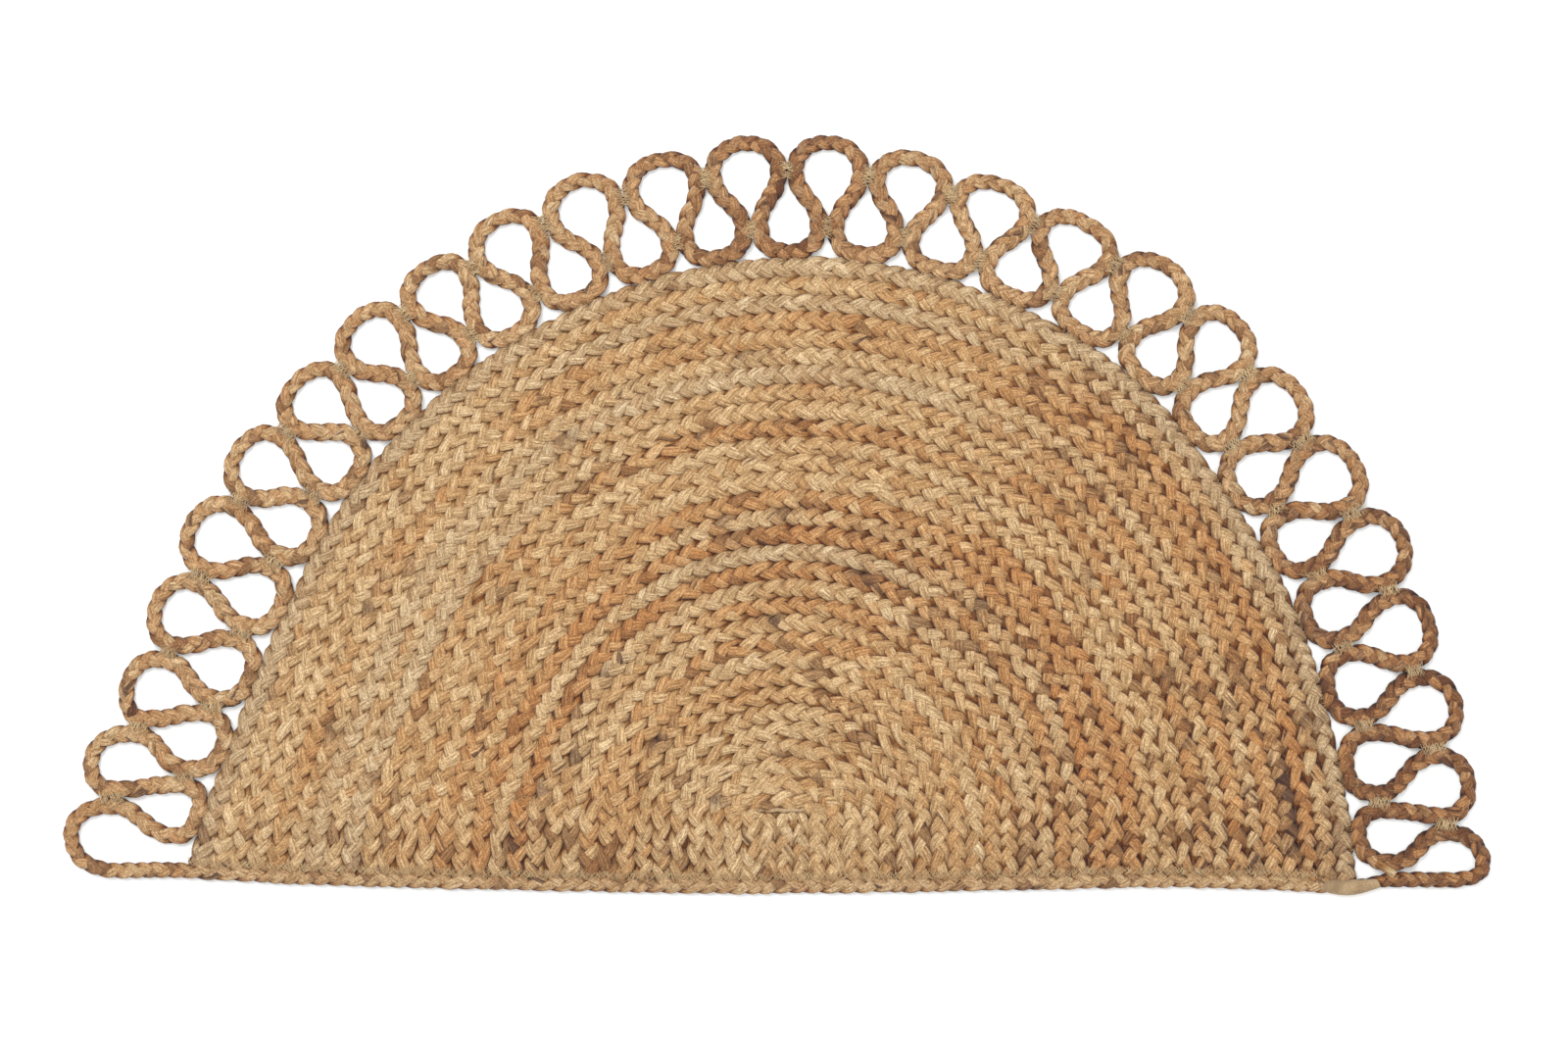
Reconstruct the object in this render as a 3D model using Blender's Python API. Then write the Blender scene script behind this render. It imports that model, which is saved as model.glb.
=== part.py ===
# Half-moon rug of braided jute with a border of looped cord, lying flat on the floor.
# A flat braid is sewn edge to edge round a short straight start, as half of an oval coil.
# One long round cord binds the cut edge, runs on past it and is laid in loops round the coil.
# Its two ends meet at the lower right, under a whipping of thread.
# Units are metres, +Z is up, +Y points from the cut edge to the top of the half moon.
import math
from collections import namedtuple

import bmesh
import bpy
from mathutils import Vector

MM = 0.001

# Driving sizes of the coil
ROW_COUNT = 31
MAT_HEIGHT = 8.5 * MM
ROW_GROOVE = 2.4 * MM
START_HALF = 16 * MM
START_ROWS = 3
SEAM_PRESS = 1.6 * MM
ARCH_STEPS = 36
LEG_STEPS = 2
SIDE_LOW = 2.4 * MM
SIDE_HIGH = 5.4 * MM
UNDERSIDE_INSET = 2.0 * MM
SHARP_ANGLE = 50

# Driving sizes of the cord
CORD_WIDTH = 10.9 * MM
CORD_HEIGHT = 8.0 * MM
FLAT_SHARE = 0.56
GAP = 0.3 * MM
ROUND_GRIP = 0.62
SLANT_GRIP = 0.5
SAME_WAY = 0.9
INNER_TOUCH = 0.25
OUTER_TOUCH = 0.71
FOOT_WIDTH = 0.74
TOUCH_WIDTH = 0.94
ROUND_STEPS = 3
SLANT_STEPS = 2
CUT_EDGE_STEP = 30 * MM
MITRE_LIMIT = 0.5

# Thread that ties two touching stretches of the cord
TIE_LENGTH = 9 * MM
TIE_PROUD = 0.5 * MM
TIE_FOOT = 0.3 * MM

# Whipping over the joint of the two ends
JOINT_LEFT = 345 * MM
JOINT_RIGHT = 379 * MM
JOINT_MIDDLE = 361 * MM
JOINT_STEPS = 8
JOINT_TAPER = 10 * MM
PRESSED_WIDTH = 9.0 * MM
PRESSED_HEIGHT = 5.8 * MM
PRESSED_FOOT = 1.3 * MM
WHIPPING_END_WIDTH = 11.4 * MM
WHIPPING_WIDTH = 12.6 * MM
WHIPPING_HEIGHT = 8.4 * MM

# Edge of the coil: turn round its centre from the left (degrees), distance from the centre (mm).
# Its heading is read between two places EDGE_LOOK degrees to each side.
EdgePoint = namedtuple("EdgePoint", "turn reach")
EDGE_LOOK = 0.5
COIL_EDGE = (
    EdgePoint(-6, 387),
    EdgePoint(3, 366),
    EdgePoint(10, 355),
    EdgePoint(18, 348),
    EdgePoint(26, 345),
    EdgePoint(40, 346.5),
    EdgePoint(55, 347.5),
    EdgePoint(70, 350.5),
    EdgePoint(85, 354),
    EdgePoint(100, 357),
    EdgePoint(115, 357.5),
    EdgePoint(130, 357),
    EdgePoint(140, 352),
    EdgePoint(148, 350),
    EdgePoint(156, 353),
    EdgePoint(170, 355),
    EdgePoint(179, 362),
    EdgePoint(187, 371),
)

# Middle of the cord along the cut edge, in mm from the centre of the coil
CutPoint = namedtuple("CutPoint", "x y")
CUT_EDGE = (
    CutPoint(-397, -38.7),
    CutPoint(-303, -43.4),
    CutPoint(-145, -47.5),
    CutPoint(-19, -49.0),
    CutPoint(139, -47.1),
    CutPoint(233, -45.1),
    CutPoint(297, -46.3),
    CutPoint(361, -47.9),
)

# Loops from left to right: turn of the tip and of the foot that follows it (degrees), reach of the tip (mm)
Loop = namedtuple("Loop", "tip reach foot")
LOOPS = (
    Loop(-2.0, 466, 0.0),
    Loop(4.0, 454, 6.3),
    Loop(10.7, 437, 14.1),
    Loop(18.0, 431.5, 21.9),
    Loop(25.6, 430, 29.9),
    Loop(33.4, 427.5, 37.5),
    Loop(41.0, 424, 45.6),
    Loop(48.9, 425.5, 52.8),
    Loop(56.3, 424, 60.4),
    Loop(63.9, 428.5, 68.2),
    Loop(71.4, 432, 75.7),
    Loop(79.1, 432, 83.0),
    Loop(86.5, 436, 90.5),
    Loop(93.9, 436.5, 97.9),
    Loop(101.3, 433.5, 105.6),
    Loop(109.1, 432, 113.6),
    Loop(117.1, 431, 121.7),
    Loop(125.5, 434, 129.5),
    Loop(132.9, 433.5, 137.0),
    Loop(140.6, 432, 144.7),
    Loop(148.6, 435.5, 152.5),
    Loop(156.2, 440.5, 159.8),
    Loop(163.8, 438, 167.7),
    Loop(171.2, 443.5, 175.8),
    Loop(177.9, 447, 182.7),
    Loop(184.6, 457.5, None),
)

# Where the cord swings free at the two lower corners, in mm from the centre of the coil
FIRST_LOOP_LOW = Vector((-430, -39.4)) * MM
FIRST_FOOT_LOW = Vector((-393.2, -17.0)) * MM
LAST_FOOT_LOW = Vector((392, -34.2)) * MM
LAST_LOOP_LOW = Vector((425, -45.5)) * MM
LAST_RUN = Vector((394, -44.8)) * MM
JOINT_DIP = 1.1 * MM
JOINT_DIP_SPREAD = 30 * MM

TO_THE_LEFT = Vector((-1, 0))

Station = namedtuple("Station", "point heading width")
Place = namedtuple("Place", "point width press")
Tie = namedtuple("Tie", "point across")


def clear_scene():
    for thing in list(bpy.data.objects):
        bpy.data.objects.remove(thing, do_unlink=True)


def smooth(at, table):
    """Value between the rows of a (place, value) table, with no corner at a row."""
    places = [row[0] for row in table]
    values = [row[1] for row in table]
    last = len(places) - 1
    at = min(max(at, places[0]), places[last])
    i = max(n for n in range(last) if places[n] <= at)

    def slope(n):
        before = max(n - 1, 0)
        after = min(n + 1, last)
        return (values[after] - values[before]) / (places[after] - places[before])

    span = places[i + 1] - places[i]
    u = (at - places[i]) / span
    rise = u * u * (3 - 2 * u)
    leave = u * (1 - u) ** 2 * span * slope(i)
    arrive = u * u * (u - 1) * span * slope(i + 1)
    return values[i] + rise * (values[i + 1] - values[i]) + leave + arrive


def outward(turn):
    angle = math.radians(turn)
    return Vector((-math.cos(angle), math.sin(angle)))


def onward(turn):
    angle = math.radians(turn)
    return Vector((math.sin(angle), math.cos(angle)))


def edge_reach(turn):
    return smooth(turn, COIL_EDGE) * MM


def edge_heading(turn):
    """Way along the edge of the coil, from left to right."""
    before = outward(turn - EDGE_LOOK) * edge_reach(turn - EDGE_LOOK)
    after = outward(turn + EDGE_LOOK) * edge_reach(turn + EDGE_LOOK)
    return (after - before).normalized()


def cut_edge_y(x):
    return smooth(x / MM, CUT_EDGE) * MM


def touch_reach(turn, tip_reach, share):
    """Distance from the centre where neighbouring stretches of the cord touch."""
    edge = edge_reach(turn)
    return edge + share * (tip_reach - edge)


def outer_touch(k):
    """Turn and distance where loop k touches the next loop."""
    turn = (LOOPS[k].tip + LOOPS[k + 1].tip) / 2
    tip_reach = (LOOPS[k].reach + LOOPS[k + 1].reach) / 2 * MM
    return turn, touch_reach(turn, tip_reach, OUTER_TOUCH)


def inner_touch(k):
    """Turn and distance where the feet on both sides of loop k touch."""
    turn = (LOOPS[k - 1].foot + LOOPS[k].foot) / 2
    return turn, touch_reach(turn, LOOPS[k].reach * MM, INNER_TOUCH)


def beside(turn, reach, side):
    """Middle of the cord on one side of a touching place."""
    return outward(turn) * reach + onward(turn) * side * (TOUCH_WIDTH * CORD_WIDTH + GAP) / 2


def foot_station(turn):
    """Lowest place of a foot, where the cord is sewn to the coil and pressed narrower."""
    along = edge_heading(turn)
    off_edge = Vector((-along.y, along.x)) * (FOOT_WIDTH * CORD_WIDTH / 2 + GAP)
    return Station(outward(turn) * edge_reach(turn) + off_edge, along, FOOT_WIDTH)


def loop_stations():
    """Places that the cord passes in the loops, from left to right."""
    last = len(LOOPS) - 1
    stations = [Station(FIRST_LOOP_LOW, TO_THE_LEFT, 1)]
    for k, loop in enumerate(LOOPS):
        if k > 0:
            turn, reach = outer_touch(k - 1)
            stations.append(Station(beside(turn, reach, 1), outward(turn), TOUCH_WIDTH))
        tip = outward(loop.tip) * (loop.reach * MM - CORD_WIDTH / 2)
        stations.append(Station(tip, onward(loop.tip), 1))
        if k == last:
            break
        turn, reach = outer_touch(k)
        stations.append(Station(beside(turn, reach, -1), -outward(turn), TOUCH_WIDTH))
        if k == 0:
            stations.append(Station(FIRST_FOOT_LOW, -outward(loop.foot), TOUCH_WIDTH))
        else:
            turn, reach = inner_touch(k)
            stations.append(Station(beside(turn, reach, 1), -outward(turn), TOUCH_WIDTH))
        stations.append(foot_station(loop.foot))
        if k + 1 == last:
            stations.append(Station(LAST_FOOT_LOW, outward(loop.foot), TOUCH_WIDTH))
        else:
            turn, reach = inner_touch(k + 1)
            stations.append(Station(beside(turn, reach, -1), outward(turn), TOUCH_WIDTH))
    stations.append(Station(LAST_LOOP_LOW, TO_THE_LEFT, 1))
    return stations


def bend(a, b):
    """Places along the smooth bend from station a up to station b, which is left out."""
    along = abs(a.heading.dot(b.heading)) > SAME_WAY
    grip = SLANT_GRIP if along else ROUND_GRIP
    steps = SLANT_STEPS if along else ROUND_STEPS
    step = b.point - a.point
    leave = a.point + a.heading * grip * abs(step.dot(a.heading))
    arrive = b.point - b.heading * grip * abs(step.dot(b.heading))
    places = []
    for n in range(steps):
        u = n / steps
        v = 1 - u
        point = a.point * v**3 + leave * 3 * u * v * v + arrive * 3 * u * u * v + b.point * u**3
        places.append(Place(point, a.width * v + b.width * u, 0))
    return places


def joint_y(x):
    """Middle of the cord where its ends meet, a little below the line of the cut edge."""
    from_middle = (x - JOINT_MIDDLE) / JOINT_DIP_SPREAD
    dip = JOINT_DIP * math.exp(-from_middle * from_middle)
    if x <= JOINT_MIDDLE:
        return cut_edge_y(x) - dip
    u = min((x - JOINT_MIDDLE) / (LAST_RUN.x - JOINT_MIDDLE), 1)
    rise = u * u * (3 - 2 * u)
    return cut_edge_y(JOINT_MIDDLE) - dip + (LAST_RUN.y - cut_edge_y(JOINT_MIDDLE)) * rise


def steps_between(start, end, count):
    return [start + (end - start) * n / count for n in range(count + 1)]


def joint_places(xs):
    """Places of the cord at and near its joint, pressed in by the thread between the joint's ends."""
    places = []
    for x in xs:
        outside = max(JOINT_LEFT - x, x - JOINT_RIGHT, 0)
        places.append(Place(Vector((x, joint_y(x))), 1, max(1 - outside / JOINT_TAPER, 0)))
    return places


def cord_route():
    """Places of the cord from its end in the joint, along the cut edge and through the loops."""
    turn_in = JOINT_LEFT - JOINT_TAPER
    left = CUT_EDGE[0].x * MM
    count = round((turn_in - left) / CUT_EDGE_STEP)
    route = joint_places(steps_between(JOINT_MIDDLE - GAP, turn_in, JOINT_STEPS))
    route += joint_places(steps_between(turn_in, left, count)[1:])
    stations = loop_stations()
    for a, b in zip(stations, stations[1:]):
        route += bend(a, b)
    for point in (LAST_LOOP_LOW, (LAST_LOOP_LOW + LAST_RUN) / 2, LAST_RUN):
        route.append(Place(point, 1, 0))
    route += joint_places(steps_between(JOINT_RIGHT + JOINT_TAPER, JOINT_MIDDLE + GAP, JOINT_STEPS))
    return route


def oval_section(width, height, foot):
    """Six corners of a section that is flat under and on top, as (sideways, height)."""
    flat = FLAT_SHARE * width / 2
    return (
        (flat, foot),
        (width / 2, foot + height / 2),
        (flat, foot + height),
        (-flat, foot + height),
        (-width / 2, foot + height / 2),
        (-flat, foot),
    )


def cord_section(place):
    width = place.width * CORD_WIDTH + place.press * (PRESSED_WIDTH - CORD_WIDTH)
    height = CORD_HEIGHT + place.press * (PRESSED_HEIGHT - CORD_HEIGHT)
    return oval_section(width, height, place.press * PRESSED_FOOT)


def sweep(mesh, route, sections):
    """Rings of a section along a flat route, joined into an open tube, and the rings themselves."""
    rings = []
    last = len(route) - 1
    for n, point in enumerate(route):
        before = (point - route[n - 1]).normalized() if n > 0 else None
        after = (route[n + 1] - point).normalized() if n < last else None
        way = ((before or after) + (after or before)).normalized()
        side = Vector((way.y, -way.x))
        stretch = 1 / max(way.dot(after or before), MITRE_LIMIT)
        ring = []
        for sideways, z in sections[n]:
            place = point + side * sideways * stretch
            ring.append(mesh.verts.new((place.x, place.y, z)))
        rings.append(ring)
    for ring, following in zip(rings, rings[1:]):
        count = len(ring)
        for i in range(count):
            j = (i + 1) % count
            mesh.faces.new((ring[i], ring[j], following[j], following[i]))
    return rings


def make_object(name, mesh):
    bmesh.ops.recalc_face_normals(mesh, faces=mesh.faces)
    data = bpy.data.meshes.new(name)
    mesh.to_mesh(data)
    mesh.free()
    data.shade_smooth()
    data.set_sharp_from_angle(angle=math.radians(SHARP_ANGLE))
    thing = bpy.data.objects.new(name, data)
    bpy.context.scene.collection.objects.link(thing)
    return thing


def make_cord():
    route = cord_route()
    mesh = bmesh.new()
    rings = sweep(mesh, [place.point for place in route], [cord_section(place) for place in route])
    mesh.faces.new(rings[0])
    mesh.faces.new(rings[-1])
    return make_object("looped_cord", mesh)


def tie_places():
    """Places where two stretches of the cord touch, with the way across them both."""
    last = len(LOOPS) - 1
    ties = []
    for k in range(last):
        turn, reach = outer_touch(k)
        ties.append(Tie(outward(turn) * reach, onward(turn)))
    for k in range(1, last):
        turn, reach = inner_touch(k)
        ties.append(Tie(outward(turn) * reach, onward(turn)))
    ties.append(Tie((LAST_FOOT_LOW + LAST_RUN) / 2, Vector((0, 1))))
    return ties


def make_ties():
    """Bands of thread round both stretches at every tie, used only to join them to the cord."""
    mesh = bmesh.new()
    width = 2 * (CORD_WIDTH + TIE_PROUD) + GAP
    outline = oval_section(width, CORD_HEIGHT + TIE_PROUD - TIE_FOOT, TIE_FOOT)
    for tie in sorted(tie_places(), key=lambda tie: tie.point.x):
        along = Vector((-tie.across.y, tie.across.x)) * TIE_LENGTH / 2
        ends = []
        for middle in (tie.point - along, tie.point + along):
            places = [middle + tie.across * sideways for sideways, z in outline]
            heights = [z for sideways, z in outline]
            ends.append([mesh.verts.new((*place, z)) for place, z in zip(places, heights)])
        mesh.faces.new(ends[0])
        mesh.faces.new(ends[1])
        for i in range(len(outline)):
            j = (i + 1) % len(outline)
            mesh.faces.new((ends[0][i], ends[0][j], ends[1][j], ends[1][i]))
    ties = make_object("tie_guide", mesh)
    ties.hide_render = True
    ties.display_type = "WIRE"
    return ties


def tie_cord(cord, ties):
    union = cord.modifiers.new("ties", "BOOLEAN")
    union.operation = "UNION"
    union.solver = "EXACT"
    union.object = ties


def coil_line(share):
    """One line round the coil, from the cut edge on the left to the cut edge on the right."""
    arch = []
    for n in range(ARCH_STEPS + 1):
        turn = 180 * n / ARCH_STEPS
        start = Vector((START_HALF * (2 * n / ARCH_STEPS - 1), 0))
        arch.append(outward(turn) * edge_reach(turn) * share + start * (1 - share))
    left = leg(arch[0], 0, COIL_EDGE[0], share)
    right = leg(arch[-1], 180, COIL_EDGE[-1], share)
    return list(reversed(left)) + arch + right


def leg(top, arch_turn, corner, share):
    """Points of a row's leg, from the end of its arch down to the cut edge, flared near the rim."""
    rim_x = outward(arch_turn).x * edge_reach(arch_turn)
    corner_x = outward(corner.turn).x * corner.reach * MM
    foot_x = top.x + (corner_x - rim_x) * share**2
    foot = Vector((foot_x, cut_edge_y(foot_x) + CORD_WIDTH / 2 + GAP))
    return [top + (foot - top) * n / LEG_STEPS for n in range(1, LEG_STEPS + 1)]


def make_mat():
    mesh = bmesh.new()
    crest = MAT_HEIGHT
    groove = MAT_HEIGHT - ROW_GROOVE
    lines = []
    for n in range(2 * ROW_COUNT + 1):
        outermost = n == 2 * ROW_COUNT
        top = SIDE_HIGH if outermost else (groove, crest)[n % 2]
        seam = top if outermost else top - SEAM_PRESS
        points = coil_line(n / (2 * ROW_COUNT))
        heights = [seam] + [top] * (len(points) - 2) + [seam]
        lines.append([mesh.verts.new((*point, z)) for point, z in zip(points, heights)])
    for line, following in zip(lines, lines[1:]):
        for i in range(len(line) - 1):
            mesh.faces.new((line[i], line[i + 1], following[i + 1], following[i]))
    columns = fill_under_start(mesh, lines[0], crest, groove)
    close_mat(mesh, lines, columns)
    return make_object("coiled_mat", mesh)


def fill_under_start(mesh, first, crest, groove):
    """Short straight rows between the start and the cut edge, and their points from left to right."""
    count = 2 * START_ROWS
    stride = ARCH_STEPS // count
    columns = [first[LEG_STEPS::-1]]
    for n in range(1, count):
        head = first[LEG_STEPS + n * stride]
        top = (groove, crest)[n % 2]
        foot_y = cut_edge_y(head.co.x) + CORD_WIDTH / 2 + GAP
        column = [head]
        for i in range(1, LEG_STEPS + 1):
            y = foot_y * i / LEG_STEPS
            z = top - SEAM_PRESS if i == LEG_STEPS else top
            column.append(mesh.verts.new((head.co.x, y, z)))
        columns.append(column)
    columns.append(first[-LEG_STEPS - 1:])
    for n, (column, following) in enumerate(zip(columns, columns[1:])):
        bar = first[LEG_STEPS + n * stride:LEG_STEPS + (n + 1) * stride + 1]
        mesh.faces.new(bar + [following[1], column[1]])
        for i in range(1, LEG_STEPS):
            mesh.faces.new((column[i], following[i], following[i + 1], column[i + 1]))
    return columns


def close_mat(mesh, lines, columns):
    """Side wall, cut edge and flat underside."""
    rim = lines[-1]
    inset = 1 - UNDERSIDE_INSET / edge_reach(90)
    low = [mesh.verts.new((v.co.x, v.co.y, SIDE_LOW)) for v in rim]
    under = []
    last = len(rim) - 1
    for n, v in enumerate(rim):
        y = v.co.y if n in (0, last) else v.co.y * inset
        under.append(mesh.verts.new((v.co.x * inset, y, 0)))
    for i in range(last):
        mesh.faces.new((rim[i], rim[i + 1], low[i + 1], low[i]))
        mesh.faces.new((low[i], low[i + 1], under[i + 1], under[i]))
    cut = [line[0] for line in reversed(lines)]
    cut += [column[-1] for column in columns[1:-1]]
    cut += [line[-1] for line in lines]
    foot = [mesh.verts.new((v.co.x, v.co.y, 0)) for v in cut[1:-1]]
    mesh.faces.new((rim[0], low[0], under[0], foot[0], cut[1]))
    for i in range(len(foot) - 1):
        mesh.faces.new((cut[i + 1], foot[i], foot[i + 1], cut[i + 2]))
    mesh.faces.new((cut[-2], foot[-1], under[-1], low[-1], rim[-1]))
    mesh.faces.new(under + list(reversed(foot)))


def make_whipping():
    """Sleeve of wound thread, a little thicker in the middle, with both ends of the cord inside."""
    xs = steps_between(JOINT_LEFT, JOINT_RIGHT, JOINT_STEPS)
    route = [Vector((x, joint_y(x))) for x in xs]
    outer = []
    inner = []
    for n in range(JOINT_STEPS + 1):
        swell = math.sin(math.pi * n / JOINT_STEPS)
        width = WHIPPING_END_WIDTH + swell * (WHIPPING_WIDTH - WHIPPING_END_WIDTH)
        outer.append(oval_section(width, WHIPPING_HEIGHT, 0))
        bore_width = PRESSED_WIDTH + 2 * GAP
        bore_height = PRESSED_HEIGHT + 2 * GAP
        inner.append(oval_section(bore_width, bore_height, PRESSED_FOOT - GAP))
    mesh = bmesh.new()
    outside = sweep(mesh, route, outer)
    inside = sweep(mesh, route, inner)
    for end in (0, -1):
        ring = outside[end]
        bore = inside[end]
        for i in range(len(ring)):
            j = (i + 1) % len(ring)
            mesh.faces.new((ring[i], ring[j], bore[j], bore[i]))
    return make_object("end_whipping", mesh)


def jute(name, colour, roughness):
    material = bpy.data.materials.new(name)
    material.use_nodes = True
    shader = material.node_tree.nodes["Principled BSDF"]
    shader.inputs["Base Color"].default_value = (*colour, 1)
    shader.inputs["Roughness"].default_value = roughness
    shader.inputs["Metallic"].default_value = 0
    return material


def stand_at_origin(pieces):
    """Hang the pieces on an empty so that the rug is centred over the origin."""
    rug = bpy.data.objects.new("rug", None)
    bpy.context.scene.collection.objects.link(rug)
    bpy.context.view_layer.update()
    corners = [Vector(corner) for piece in pieces for corner in piece.bound_box]
    middle_x = (min(c.x for c in corners) + max(c.x for c in corners)) / 2
    middle_y = (min(c.y for c in corners) + max(c.y for c in corners)) / 2
    for piece in pieces:
        piece.parent = rug
    rug.location = (-middle_x, -middle_y, 0)


def main():
    clear_scene()
    mat = make_mat()
    mat.data.materials.append(jute("mat jute", (0.56, 0.37, 0.18), 0.85))
    cord = make_cord()
    cord.data.materials.append(jute("cord jute", (0.42, 0.25, 0.11), 0.85))
    ties = make_ties()
    tie_cord(cord, ties)
    whipping = make_whipping()
    whipping.data.materials.append(jute("thread jute", (0.60, 0.42, 0.23), 0.9))
    stand_at_origin([mat, cord, ties, whipping])


main()
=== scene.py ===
import math
import random

import bpy
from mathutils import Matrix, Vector


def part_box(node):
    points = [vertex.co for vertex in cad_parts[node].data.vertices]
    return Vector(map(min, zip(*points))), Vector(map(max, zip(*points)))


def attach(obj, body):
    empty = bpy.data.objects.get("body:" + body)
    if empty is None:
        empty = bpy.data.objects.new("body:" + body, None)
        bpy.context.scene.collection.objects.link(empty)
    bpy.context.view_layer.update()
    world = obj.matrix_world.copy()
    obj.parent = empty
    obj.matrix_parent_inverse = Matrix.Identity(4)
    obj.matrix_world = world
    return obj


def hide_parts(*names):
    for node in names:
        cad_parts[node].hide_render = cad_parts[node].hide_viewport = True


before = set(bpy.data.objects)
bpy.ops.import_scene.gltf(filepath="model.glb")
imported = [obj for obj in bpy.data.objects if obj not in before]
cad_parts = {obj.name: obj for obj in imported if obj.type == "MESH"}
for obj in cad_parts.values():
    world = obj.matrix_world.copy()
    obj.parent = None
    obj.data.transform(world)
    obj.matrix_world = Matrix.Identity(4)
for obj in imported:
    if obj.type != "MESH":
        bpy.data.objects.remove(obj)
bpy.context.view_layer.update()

# Half-moon rug of braided jute: a coil of flat braid and one round cord that binds its cut edge
# and is laid in loops round it. Metres, flat on the floor, the cut edge towards the front.

mm = 0.001
photoSize = (1600, 1066)

studio = {
    "floorHalf": 15.0,
    "floorShade": (244, 244, 242),
    "floorGlow": 0.18,
    "lens": 85.0,
    "sensor": 36.0,
    "pixel": 0.631 * mm,  # on the rug
    "rugMiddle": (793, 525),  # pixel of the middle of the rug's box
    # Name, place, size and watts of each light
    "lights": (("key light", (-0.7, 1.1, 2.6), 1.6, 54), ("fill light", (1.6, -1.2, 2.2), 2.2, 14)),
    "skyGlow": 0.80,
}

coil = {
    "rows": 31,
    "startHalf": 16 * mm,  # half of the straight start
    "shortRows": 3,  # upright rows under the start
    "shortTop": -2 * mm,
    "shortSteps": 12,
    "archSteps": 90,
    "legSteps": 10,
    "footOver": 2.2 * mm,  # that the rows' feet reach over the binding
}

cord = {
    "width": 10.9 * mm,
    "height": 8.0 * mm,
    "gap": 0.3 * mm,
    "roundGrip": 0.62,
    "slantGrip": 0.5,
    "sameWay": 0.9,
    "innerTouch": 0.25,
    "outerTouch": 0.71,
    "footWidth": 0.74,
    "touchWidth": 0.94,
    "bendSteps": 10,
    "bindingReach": 380 * mm,  # that the binding goes each way from the centre
    "bindingBand": 8 * mm,  # that it may lie over the cut edge's line
}

# Edge of the coil: turn round its centre from the left (degrees), distance from the centre (mm)
coilEdge = (
    (-6, 387), (3, 366), (10, 355), (18, 348), (26, 345), (40, 346.5), (55, 347.5), (70, 350.5), (85, 354),
    (100, 357), (115, 357.5), (130, 357), (140, 352), (148, 350), (156, 353), (170, 355), (179, 362),
    (187, 371),
)

# Middle of the cord along the cut edge, in mm from the centre of the coil
cutEdge = (
    (-397, -38.7), (-303, -43.4), (-145, -47.5), (-19, -49.0),
    (139, -47.1), (233, -45.1), (297, -46.3), (361, -47.9),
)

# Loops from left to right: turn of the tip (degrees), reach of the tip (mm), turn of the foot after it
loops = (
    (-2.0, 466, 0.0), (4.0, 454, 6.3), (10.7, 437, 14.1), (18.0, 431.5, 21.9), (25.6, 430, 29.9),
    (33.4, 427.5, 37.5), (41.0, 424, 45.6), (48.9, 425.5, 52.8), (56.3, 424, 60.4), (63.9, 428.5, 68.2),
    (71.4, 432, 75.7), (79.1, 432, 83.0), (86.5, 436, 90.5), (93.9, 436.5, 97.9),
    (101.3, 433.5, 105.6), (109.1, 432, 113.6), (117.1, 431, 121.7), (125.5, 434, 129.5),
    (132.9, 433.5, 137.0), (140.6, 432, 144.7), (148.6, 435.5, 152.5), (156.2, 440.5, 159.8),
    (163.8, 438, 167.7), (171.2, 443.5, 175.8), (177.9, 447, 182.7), (184.6, 457.5, None),
)

# Where the cord swings free at the two lower corners, from the centre of the coil
firstLoopLow = Vector((-430, -39.4)) * mm
firstFootLow = Vector((-393.2, -17.0)) * mm
lastFootLow = Vector((392, -34.2)) * mm
lastLoopLow = Vector((425, -45.5)) * mm
lastRun = Vector((394, -44.8)) * mm

joint = {
    "left": 345 * mm,
    "right": 379 * mm,
    "middle": 361 * mm,
    "dip": 1.1 * mm,
    "dipSpread": 30 * mm,
    "taper": 10 * mm,
    "deeper": 3.0 * mm,  # that the rows reach down over it
    "below": -40 * mm,  # the cord is only pressed under this line
}


def smooth(at, table):  # value between the rows of a (place, value) table, with no corner at a row
    places, values = zip(*table)
    last = len(places) - 1
    at = min(max(at, places[0]), places[last])
    i = max(n for n in range(last) if places[n] <= at)

    def slope(n):
        before = max(n - 1, 0)
        after = min(n + 1, last)
        return (values[after] - values[before]) / (places[after] - places[before])

    span = places[i + 1] - places[i]
    u = (at - places[i]) / span
    rise = u * u * (3 - 2 * u)
    leave = u * (1 - u) ** 2 * span * slope(i)
    arrive = u * u * (u - 1) * span * slope(i + 1)
    return values[i] + rise * (values[i + 1] - values[i]) + leave + arrive


def ease(value, low, high):  # 0 at low, 1 at high, soft in between
    u = min(max((value - low) / (high - low), 0), 1)
    return u * u * (3 - 2 * u)


def stepsBetween(start, end, count):
    return [start + (end - start) * n / count for n in range(count + 1)]


def outward(turn):
    angle = math.radians(turn)
    return Vector((-math.cos(angle), math.sin(angle)))


def onward(turn):
    angle = math.radians(turn)
    return Vector((math.sin(angle), math.cos(angle)))


def edgeReach(turn):
    return smooth(turn, coilEdge) * mm


def edgePlace(turn):
    return outward(turn) * edgeReach(turn)


def edgeHeading(turn):
    return (edgePlace(turn + 0.5) - edgePlace(turn - 0.5)).normalized()


def cutEdgeY(x):
    return smooth(x / mm, cutEdge) * mm


# The coil's centre in the frame, from the box of the mat: its left corner and the top of its arch
matLow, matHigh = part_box("coiled_mat")
archTop = max(edgePlace(5 * n).y for n in range(37))
cornerX = (outward(coilEdge[0][0]) * coilEdge[0][1] * mm).x
centre = Vector((matLow.x - cornerX, matHigh.y - archTop))
print("coil centre", [round(c / mm, 2) for c in centre])


# Routes of the braid's rows

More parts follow.
